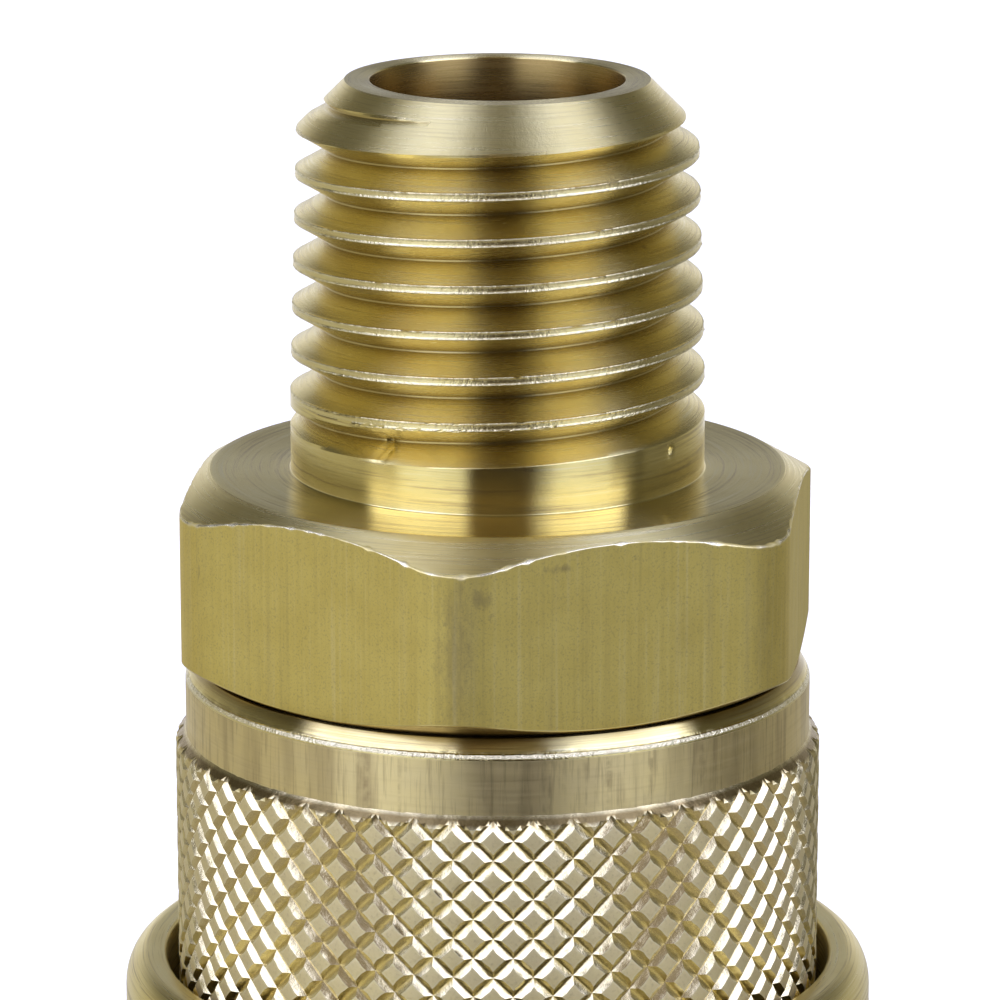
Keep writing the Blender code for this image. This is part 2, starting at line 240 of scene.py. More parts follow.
BACK_WALL = ((0.95, 0.95, 0.97, 1), (0.31, 0.315, 0.335, 1))  # low down and higher up


def unit(value):
    return np.clip(value, 0, 1)


def wobble(turns, seed, waves=(3, 5, 9, 14, 23)):
    """A smooth closed curve over a whole turn, between about -1 and 1."""
    phases = np.random.default_rng(seed).uniform(0, tau, len(waves))
    total = sum(np.sin(count * turns + phase) for count, phase in zip(waves, phases))
    return total / len(waves) * 1.6


def new_object(name, data):
    thing = bpy.data.objects.new(name, data)
    bpy.context.scene.collection.objects.link(thing)
    return thing


def mesh_object(name, mesh, materials=()):
    """An object made from the bmesh, which is used up."""
    data = bpy.data.meshes.new(name)
    mesh.to_mesh(data)
    mesh.free()
    for material in materials:
        data.materials.append(material)
    return new_object(name, data)


class Shell:
    """Grids of points in millimetres, welded into one closed mesh.

    Each point also has a wear value: 0 is plain, 1 a rubbed or burred edge, values between them
    also a pale painted highlight, and -1 painted shade, which under the hexagon also stands for
    oily grime.
    """

    def __init__(self):
        self.points = []
        self.wear_and_painted_light = []
        self.faces = []
        self.kinds = []
        self.count = 0

    def grid(self, points, wear_and_painted_light=0, kind=0):
        """A grid of points (rows, columns, 3) that closes on itself round the axis."""
        points = np.stack(points)
        rows, columns = points.shape[:2]
        index = np.arange(rows * columns).reshape(rows, columns)
        following = np.roll(index, -1, axis=1)
        quads = np.stack([index[:-1], following[:-1], following[1:], index[1:]], axis=-1)
        self.add(points, quads.reshape(-1, 4).tolist(), wear_and_painted_light, kind)

    def add(self, points, faces, wear_and_painted_light=0, kind=0):
        flat = points.reshape(-1, 3)
        self.points.append(flat)
        self.wear_and_painted_light.append(np.broadcast_to(wear_and_painted_light, points.shape[:-1]).reshape(-1))
        self.faces.extend([[corner + self.count for corner in face] for face in faces])
        self.kinds.extend(np.broadcast_to(kind, len(faces)).tolist())
        self.count += flat.shape[0]

    def piece(self, name, materials, sharp=35, weld=FINE_WELD):
        mesh = bmesh.new()
        worn = mesh.verts.layers.float.new("wear_and_painted_light")
        points, wear_and_painted_light = np.concatenate(self.points), np.concatenate(self.wear_and_painted_light)
        # Where grids meet, the points of the later grid take the wear of the earlier one.
        keys = np.round(points / weld)
        _, first, same = np.unique(keys, axis=0, return_index=True, return_inverse=True)
        wear_and_painted_light = wear_and_painted_light[first][same.reshape(-1)]
        for point, value in zip(points.tolist(), wear_and_painted_light.tolist()):
            mesh.verts.new(point)[worn] = value
        mesh.verts.ensure_lookup_table()
        for face, kind in zip(self.faces, self.kinds):
            mesh.faces.new([mesh.verts[corner] for corner in face]).material_index = kind
        bmesh.ops.remove_doubles(mesh, verts=mesh.verts, dist=weld)
        bmesh.ops.dissolve_degenerate(mesh, edges=mesh.edges, dist=weld / 4)
        bmesh.ops.recalc_face_normals(mesh, faces=mesh.faces)
        bmesh.ops.transform(mesh, matrix=Matrix.Scale(MM, 4), verts=mesh.verts)
        thing = mesh_object(name, mesh, materials)
        thing.data.shade_smooth()
        thing.data.set_sharp_from_angle(angle=radians(sharp))
        return thing


def circle_turns(count):
    return np.arange(count) * tau / count


def ring(radius, turns, height):
    """One closed row of points; radius and height may vary round the turn."""
    radius = radius + 0 * turns
    height = height + 0 * turns
    return np.stack([radius * np.cos(turns), radius * np.sin(turns), height], axis=-1)


def lathe(outline, turns):
    return [ring(radius, turns, height) for radius, height in outline]


def quarter(count):
    """Pairs of numbers that go round a quarter circle, from (0, 1) to (1, 0)."""
    return [(1 - cos(a), 1 - sin(a)) for a in np.linspace(0, pi / 2, count)]


def rounded(outline, radius=0.1, steps=3, closed=True):
    """The outline with each corner rounded by up to that radius."""
    points = [np.array(point, float) for point in outline]
    count = len(points)
    result = []
    for i, corner in enumerate(points):
        if not closed and i in (0, count - 1):
            result.append(tuple(corner))
            continue
        before, after = points[i - 1] - corner, points[(i + 1) % count] - corner
        reach = min(radius, 0.45 * np.linalg.norm(before), 0.45 * np.linalg.norm(after))
        start = corner + before / np.linalg.norm(before) * reach
        end = corner + after / np.linalg.norm(after) * reach
        for k in range(steps + 1):
            t = k / steps
            point = start * (1 - t) ** 2 + corner * 2 * t * (1 - t) + end * t ** 2
            result.append(tuple(point))
    return result


# ---- camera, lights and floor


def make_camera():
    """Looks down at the thread end from the front, through a long lens."""
    pitch = radians(14.26)
    distance = 169.72
    aim = Vector((0.076, 0, TOP_Z - 13.504))
    forward = Vector((0, cos(pitch), -sin(pitch)))
    data = bpy.data.cameras.new("camera")
    data.sensor_width = 36
    data.lens = 193.0
    data.clip_start = 0.01
    data.clip_end = 20
    camera = new_object("camera", data)
    camera.location = (aim - forward * distance) * MM
    camera.rotation_euler = (pi / 2 - pitch, 0, 0)
    bpy.context.scene.camera = camera


def make_floor_light():
    """A lamp above the object, hidden from reflections, that gives it a soft shadow."""
    data = bpy.data.lights.new("floor_light", "AREA")
    data.shape = "RECTANGLE"
    data.size = data.size_y = 2.0
    data.energy = 15
    data.color = (1, 0.985, 0.95)
    lamp = new_object("floor_light", data)
    lamp.location = (0, 0.3, 1.2)
    lamp.visible_glossy = False


def make_floor(material):
    """A wide pale disc under the object."""
    mesh = bmesh.new()
    bmesh.ops.create_circle(mesh, cap_ends=True, radius=3.0, segments=64)
    floor = mesh_object("floor", mesh, [material])
    floor.visible_glossy = False


# ---- materials


class Nodes:
    """Short calls that build a node tree. A value is a number, a colour or another socket."""

    def __init__(self, tree):
        self.tree = tree

    def add(self, kind, *values, **settings):
        node = self.tree.nodes.new(kind)
        for key, value in settings.items():
            setattr(node, key, value)
        for socket, value in zip(node.inputs, values):
            self.feed(socket, value)
        return node

    def feed(self, socket, value):
        if isinstance(value, bpy.types.NodeSocket):
            self.tree.links.new(value, socket)
        else:
            socket.default_value = value

    def math(self, operation, first, second=0.0):
        return self.add("ShaderNodeMath", first, second, operation=operation).outputs[0]

    def length(self, x, y):
        squares = self.math("ADD", self.math("POWER", x, 2.0), self.math("POWER", y, 2.0))
        return self.math("SQRT", squares)

    def split(self, vector):
        return self.add("ShaderNodeSeparateXYZ", vector).outputs

    def span(self, value, low, high, to_low=0.0, to_high=1.0, **settings):
        """The value mapped from low..high to to_low..to_high, and held at the ends."""
        values = value, low, high, to_low, to_high
        return self.add("ShaderNodeMapRange", *values, **settings).outputs[0]

    def mix(self, share, first, second):
        node = self.add("ShaderNodeMix", data_type="RGBA")
        self.feed(node.inputs[0], share)
        self.feed(node.inputs[6], first)
        self.feed(node.inputs[7], second)
        return node.outputs[2]


class Paint(Nodes):
    """Builds one procedural material. Its lengths are in millimetres."""

    def __init__(self, name):
        self.material = bpy.data.materials.new(name)
        self.material.use_nodes = True
        super().__init__(self.material.node_tree)
        self.shader = self.tree.nodes["Principled BSDF"]
        place = self.add("ShaderNodeTexCoord").outputs["Object"]
        self.place = self.vector("MULTIPLY", place, (1 / MM,) * 3)
        self.x, self.y, self.z = self.split(self.place)
        self.r = self.length(self.x, self.y)

    def scaled(self, value, factor):
        return self.math("MULTIPLY", value, factor)

    def vector(self, operation, first, second):
        return self.add("ShaderNodeVectorMath", first, second, operation=operation).outputs[0]

    def noise(self, vector=None, scale=1.0, detail=3.0, rough=0.55):
        node = self.add("ShaderNodeTexNoise")
        self.feed(node.inputs["Vector"], self.place if vector is None else vector)
        node.inputs["Scale"].default_value = scale
        node.inputs["Detail"].default_value = detail
        node.inputs["Roughness"].default_value = rough
        return node.outputs["Fac"]

    def wear_and_painted_light(self):
        return self.add("ShaderNodeAttribute", attribute_name="wear_and_painted_light").outputs["Fac"]

    def rings(self, fineness, length):
        """Streaks that run round the axis, as a turning tool leaves them."""
        across = self.scaled(self.math("DIVIDE", self.x, self.r), length)
        back = self.scaled(self.math("DIVIDE", self.y, self.r), length)
        along = self.math("SUBTRACT", self.z, self.scaled(self.r, 0.9))
        along = self.scaled(along, fineness)
        return self.add("ShaderNodeCombineXYZ", across, back, along).outputs[0]

    def draw_lines(self, fineness, length):
        """Streaks that run along the axis, as a drawing die leaves them."""
        return self.vector("MULTIPLY", self.place, (fineness, fineness, length))

    def bump(self, height, micrometres, below=None):
        node = self.add("ShaderNodeBump")
        node.inputs["Distance"].default_value = micrometres * 1e-6
        self.feed(node.inputs["Height"], height)
        if below is not None:
            self.feed(node.inputs["Normal"], below)
        return node.outputs[0]

    def brushed(self, amount, across):
        """Gloss smeared along the axis, or round it when across is true."""
        tangent = self.add("ShaderNodeTangent", direction_type="RADIAL", axis="Z")
        self.feed(self.shader.inputs["Tangent"], tangent.outputs[0])
        self.shader.inputs["Anisotropic"].default_value = amount
        self.shader.inputs["Anisotropic Rotation"].default_value = 0.0 if across else 0.25

    def finish(self, color, metallic, roughness, normal=None):
        self.feed(self.shader.inputs["Base Color"], color)
        self.shader.inputs["Metallic"].default_value = metallic
        self.feed(self.shader.inputs["Roughness"], roughness)
        if normal is not None:
            self.feed(self.shader.inputs["Normal"], normal)
        return self.material


def stained(paint, color, stains):
    """The colour with ragged dark marks."""
    if not stains:
        return color
    ragged = paint.noise(paint.draw_lines(4.0, 1.6), detail=5, rough=0.7)
    for place, (wide, tall), amount in stains:
        offset = paint.vector("SUBTRACT", paint.place, place)
        offset = paint.vector("DIVIDE", offset, (wide, wide, tall))
        length = paint.add("ShaderNodeVectorMath", operation="LENGTH")
        paint.feed(length.inputs[0], offset)
        reach = paint.math("ADD", length.outputs["Value"], paint.span(ragged, 0.3, 0.7, -0.7, 0.7))
        color = paint.mix(paint.span(reach, 1.3, 0.2, 0, amount), color, TARNISH)
    return color


def turned_brass(name, gloss, smear, grit=0.012, lined=0.75, grime_and_shade_strength=0.7, stains=()):
    """Lathe-cut brass: fine rings, sharp to the side and smeared along the axis.

    Smear is how far the gloss is drawn out, grit how grainy it is, lined how dark the rings'
    hollows are, and the number after it how dark the painted shade and grime are.
    """
    paint = Paint(name)
    lines = paint.noise(paint.rings(8, 1.4), detail=4, rough=0.7)
    coarse = paint.noise(paint.rings(3.0, 0.8), detail=2)
    patches = paint.noise(scale=0.45, detail=4)
    specks = paint.noise(scale=24, detail=3, rough=0.6)
    burrs = paint.noise(scale=8, detail=4, rough=0.6)
    wear_and_painted_light = paint.wear_and_painted_light()
    rubbed = paint.span(wear_and_painted_light, 0.0, 1.0)
    grime_and_shade = paint.span(wear_and_painted_light, 0.0, -1.0)
    color = paint.mix(paint.span(patches, 0.38, 0.66), BRASS, BRASS_WARM)
    color = paint.mix(paint.span(lines, 0.52, 0.66, 0, lined), color, TARNISH)
    color = paint.mix(paint.span(lines, 0.45, 0.3, 0, 0.5), color, BRASS_PALE)
    color = stained(paint, color, stains)
    color = paint.mix(paint.scaled(rubbed, 0.7), color, BRASS_PALE)
    color = paint.mix(paint.scaled(grime_and_shade, grime_and_shade_strength), color, GRIME_AND_SHADE)
    roughness = paint.span(lines, 0.3, 0.7, gloss, gloss + 0.1)
    roughness = paint.math("SUBTRACT", roughness, paint.scaled(rubbed, 0.05))
    torn = paint.scaled(burrs, rubbed)
    grain = paint.bump(paint.math("ADD", torn, paint.scaled(specks, grit)), 55)
    normal = paint.bump(paint.math("ADD", lines, coarse), 2.2, grain)
    paint.brushed(smear, across=False)
    return paint.finish(color, 1, roughness, normal)


def drawn_brass(name):
    """The hexagon's flats: satin, with faint lines along the bar and a few scuffs."""
    paint = Paint(name)
    lines = paint.noise(paint.draw_lines(6, 0.1), detail=4, rough=0.6)
    broad = paint.noise(paint.draw_lines(1.3, 0.06), detail=2)
    patches = paint.noise(scale=0.9, detail=5, rough=0.6)
    smudges = paint.noise(scale=1.1, detail=5, rough=0.7)
    grain = paint.noise(scale=16, detail=3)
    rubbed = paint.span(paint.wear_and_painted_light(), 0.0, 1.0)
    color = paint.mix(paint.span(patches, 0.38, 0.62), *DRAWN)
    color = paint.mix(paint.span(broad, 0.55, 0.75, 0, 0.2), color, DRAWN_DULL)
    color = paint.mix(paint.span(smudges, 0.66, 0.74, 0, 0.6), color, TARNISH)
    color = paint.mix(paint.span(lines, 0.52, 0.75, 0, 0.2), color, TARNISH)
    color = paint.mix(paint.span(lines, 0.45, 0.3, 0, 0.2), color, BRASS_PALE)
    color = paint.mix(paint.span(grain, 0.52, 0.72, 0, 0.4), color, TARNISH)
    color = stained(paint, color, HEX_STAINS)
    color = paint.mix(paint.scaled(rubbed, 0.9), color, BRASS_PALE)
    roughness = paint.span(lines, 0.3, 0.7, 0.43, 0.49)
    roughness = paint.math("SUBTRACT", roughness, paint.scaled(rubbed, 0.25))
    height = paint.scaled(grain, paint.math("ADD", paint.scaled(rubbed, 2), 1))
    normal = paint.bump(lines, 1.2, paint.bump(height, 2.5))
    paint.brushed(0.8, across=True)
    return paint.finish(color, 1, roughness, normal)


def knurled_brass(name, gloss, pale, grit):
    """The knurling's brass: grainy, pale where it is rubbed and along painted highlight lines, and
    brown with painted shade.

    Pale is how far the colour is bleached everywhere, and grit the grain's depth in micrometres.
    """
    paint = Paint(name)
    patches = paint.noise(scale=0.7, detail=4)
    grain = paint.noise(scale=9, detail=5, rough=0.65)
    wear_and_painted_light = paint.wear_and_painted_light()
    rubbed = paint.span(wear_and_painted_light, 0.0, 1.0)
    grime_and_shade = paint.span(wear_and_painted_light, 0.0, -1.0)
    color = paint.mix(paint.span(patches, 0.35, 0.65), *KNURLED)
    color = paint.mix(paint.span(grain, 0.54, 0.7, 0, 0.4), color, TARNISH)
    # Rubbing and the painted highlight lines pale the colour.
    bleached = paint.math("ADD", paint.scaled(rubbed, 0.4), pale)
    color = paint.mix(bleached, color, BRASS_PALE)
    color = paint.mix(paint.scaled(grime_and_shade, 0.8), color, GRIME_AND_SHADE)
    roughness = paint.span(grain, 0.3, 0.7, gloss - 0.03, gloss + 0.05)
    return paint.finish(color, 1, roughness, paint.bump(grain, grit))


def rolled_brass(name):
    """The plain collar: satin, with fine rings and dark marks along the axis."""
    paint = Paint(name)
    lines = paint.noise(paint.rings(9, 2.5), detail=4, rough=0.6)
    marks = paint.noise(paint.draw_lines(1.9, 0.1), detail=5, rough=0.7)
    breaks = paint.noise(scale=2.4, detail=3)
    patches = paint.noise(scale=0.8, detail=4)
    rubbed = paint.span(paint.wear_and_painted_light(), 0.0, 1.0)
    color = paint.mix(paint.span(patches, 0.35, 0.65), *ROLLED)
    color = paint.mix(paint.span(lines, 0.5, 0.75, 0, 0.15), color, TARNISH)
    broad = paint.noise(paint.draw_lines(0.8, 0.12), detail=2)
    fine = paint.noise(paint.draw_lines(7.0, 0.35), detail=3, rough=0.7)
    color = paint.mix(paint.span(broad, 0.48, 0.62, 0, 0.45), color, TARNISH)
    color = paint.mix(paint.span(fine, 0.52, 0.68, 0, 0.5), color, TARNISH)
    dark = paint.scaled(paint.span(marks, 0.54, 0.7), paint.span(breaks, 0.35, 0.6))
    color = paint.mix(paint.scaled(dark, 0.85), color, TARNISH)
    color = paint.mix(paint.scaled(rubbed, 0.9), color, BRASS_PALE)
    roughness = paint.span(lines, 0.3, 0.7, 0.37, 0.47)
    roughness = paint.math("SUBTRACT", roughness, paint.scaled(rubbed, 0.2))
    normal = paint.bump(lines, 2, paint.bump(paint.scaled(breaks, rubbed), 8))
    return paint.finish(color, 1, roughness, normal)


def bright_steel(name, color, gloss):
    paint = Paint(name)
    scuffs = paint.noise(scale=5, detail=5, rough=0.65)
    shade = paint.mix(paint.span(scuffs, 0.35, 0.7), color, STEEL_DULL)
    roughness = paint.span(scuffs, 0.3, 0.7, gloss, gloss + 0.16)
    return paint.finish(shade, 1, roughness, paint.bump(scuffs, 2))


def rubber(name, color):
    paint = Paint(name)
    grain = paint.noise(scale=12, detail=4)
    dust = paint.noise(scale=1.2, detail=4)
    shade = paint.mix(paint.span(dust, 0.45, 0.75, 0, 0.25), color, RUBBER_DUST)
    roughness = paint.span(grain, 0.3, 0.7, 0.45, 0.62)
    return paint.finish(shade, 0, roughness, paint.bump(grain, 6))


def paper(name):
    paint = Paint(name)
    fibres = paint.noise(scale=0.8, detail=4)
    shade = paint.mix(paint.span(fibres, 0.3, 0.7), *PAPER)
    return paint.finish(shade, 0, 0.8, paint.bump(fibres, 15))


# ---- hexagon adapter


def groove_half_width():
    return ROOT_WIDTH / 2 + THREAD_DEPTH * THREAD_SLOPE


def thread_rows():
    """Offsets of the skin's rows across one pitch, from the groove's centre."""
    half_root, half_top = ROOT_WIDTH / 2, groove_half_width()
    flank = np.linspace(half_root, half_top - THREAD_EDGE, 7)
    crest = np.linspace(half_top + 2 * THREAD_EDGE, THREAD_PITCH / 2, 3)
    upper = [*flank, half_top, half_top + THREAD_EDGE, *crest]
    return np.array(sorted([-value for value in upper] + [0.0] + upper[:-1]))


def thread_skin(turns, low_z):
    """The thread and the neck as a skin whose rows follow the helix."""
    steps = len(turns)
    offsets = thread_rows()
    per_pitch = len(offsets)
    first_z = TOP_Z - GROOVE_DEPTH_AT_BACK - (BACK_GROOVE + 0.5) * THREAD_PITCH
    pitch_index = np.repeat(np.arange(PITCHES), per_pitch)[:, None]
    offset = np.tile(offsets, PITCHES)[:, None]
    share = (turns / tau)
    z = first_z + (pitch_index + share) * THREAD_PITCH + offset
    helix_turn = pitch_index - BACK_GROOVE + share - 0.5

    depth = TOP_Z - z
    clear = 0.06  # lifts the faded groove right off the neck
    cut = THREAD_DEPTH - np.maximum(np.abs(offset) - ROOT_WIDTH / 2, 0) / THREAD_SLOPE
    fade = unit((RUN_OUT_TURN - helix_turn) / RUN_OUT_LENGTH)
    cut = np.maximum(cut - fade * (THREAD_DEPTH + clear), 0)

    # A burr stands up along the crest's edges, in patches.
    at_edge = np.exp(-(((np.abs(offset) - groove_half_width() - THREAD_EDGE) / THREAD_EDGE) ** 2))
    along = turns + pitch_index * tau
    patch = unit(wobble(along, 5, (7.3, 13.1, 29.7, 61.3)) + 0.3)
    rough = np.random.default_rng(8).uniform(0, 1, (offset.shape[0], steps))
    least_burr, patch_burr = 0.003, 0.035
    burr = at_edge * (least_burr + patch_burr * patch * rough ** 2) * (1 - fade)

    radius = CREST_R + depth * THREAD_TAPER - cut + burr
    # Where the crest meets the lead-in cone, the nearest row is moved onto the edge.
    edge_depth = (CREST_R - THREAD_FLAT_R) / (1 - THREAD_TAPER)
    row_reach = 0.045
    on_edge = (cut <= 0) & (np.abs(depth - edge_depth) < row_reach)
    z = np.where(on_edge, TOP_Z - edge_depth, z)
    z = np.clip(z, low_z, TOP_Z)
    depth = TOP_Z - z
    cone = THREAD_FLAT_R + depth
    # The crests and their edges are rubbed, and the roots are darkened with painted shade.
    wear_and_painted_light = unit(1.2 * at_edge * (1 - fade) + 0.3 * (cut <= 0) * (radius < NECK_R))
    root_shade, shade_width, least_cut = 0.7, 0.12, 0.3
    wear_and_painted_light = wear_and_painted_light - root_shade * np.exp(-((offset / shade_width) ** 2)) * (cut > least_cut)
    wear_and_painted_light = np.where(radius > cone, 0.1, wear_and_painted_light)
    radius = np.minimum(np.minimum(radius, cone), NECK_R)
    radius = np.where(z <= low_z, NECK_R, radius)
    radius = np.where(z >= TOP_Z, THREAD_FLAT_R, radius)
    wear_and_painted_light = np.where(on_edge, 0.8, wear_and_painted_light)
    wear_and_painted_light = np.where(radius >= NECK_R, 0, wear_and_painted_light)
    for turn, low, wide, tall, deep in NICKS:
        across = np.angle(np.exp(1j * (turns - radians(turn)))) * NECK_R / wide
        radius = radius - deep * np.exp(-across ** 2 - ((z - low) / tall) ** 2)
    points = ring(radius, turns, z)

    rows = points.shape[0]
    index = np.arange(rows * steps).reshape(rows, steps)
    inner = np.stack([index[:-1, :-1], index[:-1, 1:], index[1:, 1:], index[1:, :-1]], axis=-1)
    faces = inner.reshape(-1, 4).tolist()
    for row in range(rows - per_pitch - 1):
        # The last column meets the first one a pitch further up.
        up = row + per_pitch
        faces.append([index[row, -1], index[up, 0], index[up + 1, 0], index[row + 1, -1]])
    # The neck is kind 0, the lead-in cone kind 2 and the thread's grooves and crests kind 3.
    margin = 0.001
    in_thread = (radius < cone - margin) & (radius < NECK_R - margin)
    on_cone = (radius >= cone - margin) & (radius < NECK_R - margin)
    corners = np.array(faces)
    kinds = np.where(on_cone.reshape(-1)[corners].all(axis=1), 2, 0)
    kinds = np.where(in_thread.reshape(-1)[corners].any(axis=1), 3, kinds)
    return points, faces, wear_and_painted_light, kinds


def hex_outline(count):
    """Points round the hexagon, straight along its sides and rounded at its corners."""
    per_side = count // 6
    at_corner = per_side // 2
    on_flat = per_side - at_corner
    centre_r = (HEX_FLATS / 2 - HEX_CORNER_ROUND) / cos(pi / 6)

    def corner_point(turn, bend):
        centre = np.array([cos(turn), sin(turn)]) * centre_r
        return centre + HEX_CORNER_ROUND * np.array([cos(bend), sin(bend)])

    points = []
    for i in range(6):
        turn = HEX_TURN + i * tau / 6
        for k in range(at_corner):
            bend = turn - pi / 6 + pi / 3 * k / (at_corner - 1)
            points.append(corner_point(turn, bend))
        start, end = points[-1], corner_point(turn + tau / 6, turn + pi / 6)
        for t in np.arange(1, on_flat + 1) / (on_flat + 1):
            points.append(start * (1 - t) + end * t)
    points = np.array(points) + np.array([HEX_OFF_CENTRE, 0])
    return np.hypot(points[:, 0], points[:, 1]), np.arctan2(points[:, 1], points[:, 0])


def adapter(turned, drawn, cone_brass, thread_brass, bore_brass):
    count = 390
    turns = circle_turns(count)
    shell = Shell()
    shell.add(*thread_skin(turns, NECK_TOP_Z))

    radius, hex_turns = hex_outline(count)
    # The outline starts at its own corner, so it is rolled to start beside the first circle point.
    shift = int(np.argmin(np.abs(np.angle(np.exp(1j * hex_turns)))))
    radius, hex_turns = np.roll(radius, -shift), np.roll(hex_turns, -shift)

    def top_z(at):
        return HEX_TOP_Z - np.maximum(at - HEX_FACE_R, 0) * tan(HEX_TOP_SLOPE)

    def bottom_z(at):
        return HEX_BOTTOM_Z + np.maximum(at - HEX_BOTTOM_R, 0) * tan(HEX_BOTTOM_SLOPE)

    # The edge under the top chamfer is rubbed round, wider towards the corners and in nicks.
    corner_height = 1.1  # from the middle of a flat out to its corner
    at_corner = unit((radius - HEX_FLATS / 2) / corner_height)
    nicks = unit(wobble(hex_turns, 11, (37, 61, 83, 101, 139)))
    least_worn, corner_worn, nick_worn = 0.022, 0.04, 0.08
    worn = least_worn + corner_worn * at_corner + nick_worn * nicks
    neck = [(NECK_R, z) for z in np.linspace(NECK_TOP_Z, HEX_TOP_Z + NECK_FILLET, 4)]
    shell.grid(lathe(neck, turns))
    fillet = [
        ring(NECK_R + NECK_FILLET * u, turns, HEX_TOP_Z + NECK_FILLET * v) for u, v in quarter(5)
    ]
    shell.grid(fillet)
    face = [fillet[-1]]
    for share in (0.3, 0.6, 0.9):
        mixed = turns + np.angle(np.exp(1j * (hex_turns - turns))) * share
        face.append(ring(NECK_R + (HEX_FACE_R - NECK_R) * share, mixed, HEX_TOP_Z))
    face.append(ring(HEX_FACE_R - 0.03, hex_turns, HEX_TOP_Z))
    face.append(ring(HEX_FACE_R, hex_turns, HEX_TOP_Z - 0.005))
    shell.grid(face)
    cone = [face[-1]]
    for share in (0.25, 0.5, 0.75):
        at = HEX_FACE_R + (radius - worn - HEX_FACE_R) * share
        cone.append(ring(at, hex_turns, top_z(at)))
    cone.append(ring(radius - worn - 0.03, hex_turns, top_z(radius - worn - 0.03)))
    cone.append(ring(radius - worn, hex_turns, top_z(radius - worn)))
    shell.grid(cone, kind=2)
    edge = [cone[-1]]
    for t in (0.25, 0.5, 0.75, 1.0):
        inward = worn * (1 - t) ** 2
        drop = worn * t ** 2 + 0.5 * worn * t * (1 - t)
        height = top_z(radius) - drop + worn * 0.3 * (1 - t) ** 2
        edge.append(ring(radius - inward, hex_turns, height))
    shine = 0.25 + 0.75 * unit(wobble(hex_turns, 12, (5, 19, 43, 71)) + 0.6)
    edge_wear = np.array([0.2, 1, 1, 1, 0.2])[:, None]
    shell.grid(edge, wear_and_painted_light=edge_wear * shine, kind=1)
    low_edge = bottom_z(radius) + 0.04
    wall = [edge[-1]]
    for share in (0.008, 0.2, 0.4, 0.6, 0.8, 1):
        height = (top_z(radius) - worn) * (1 - share) + low_edge * share
        wall.append(ring(radius, hex_turns, height))
    shell.grid(wall, kind=1)
    # Painted shade, with some oily grime, darkens the hexagon's underside and the shoulder below
    # it.
    under = [
        wall[-1],
        ring(radius - 0.012, hex_turns, low_edge - 0.028),
        ring(radius - 0.04, hex_turns, bottom_z(radius - 0.04)),
        ring(HEX_BOTTOM_R, hex_turns, HEX_BOTTOM_Z),
        ring(SPIGOT_R, turns, HEX_BOTTOM_Z),
    ]
    shell.grid(under, wear_and_painted_light=np.array([0, 0, -0.9, -0.9, -0.9])[:, None])
    lower = [
        (SPIGOT_R, HEX_BOTTOM_Z), (SPIGOT_R, SPIGOT_END_Z + SPIGOT_CHAMFER),
        (SPIGOT_R - SPIGOT_CHAMFER, SPIGOT_END_Z), (BORE_R + BORE_EDGE, SPIGOT_END_Z),
        (BORE_R, SPIGOT_END_Z + BORE_EDGE),
    ]
    bore = [(BORE_R, z) for z in np.linspace(SPIGOT_END_Z + BORE_EDGE, TOP_Z - 0.05, 12)[1:]]
    top = [(BORE_R + 0.015, TOP_Z - 0.015), (BORE_R + 0.05, TOP_Z), (THREAD_FLAT_R, TOP_Z)]
    shell.grid(lathe(lower, turns))
    # The bore's wall is darkened with painted shade.
    shell.grid(lathe([lower[-1]] + bore, turns), wear_and_painted_light=-0.9, kind=4)
    shell.grid(lathe([bore[-1]] + top, turns))
    looks = [turned, drawn, cone_brass, thread_brass, bore_brass]
    piece = shell.piece("hex_adapter_fine", looks, sharp=24, weld=0.001)
    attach(piece, "socket")
    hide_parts("hex_adapter")


# ---- knurled pieces


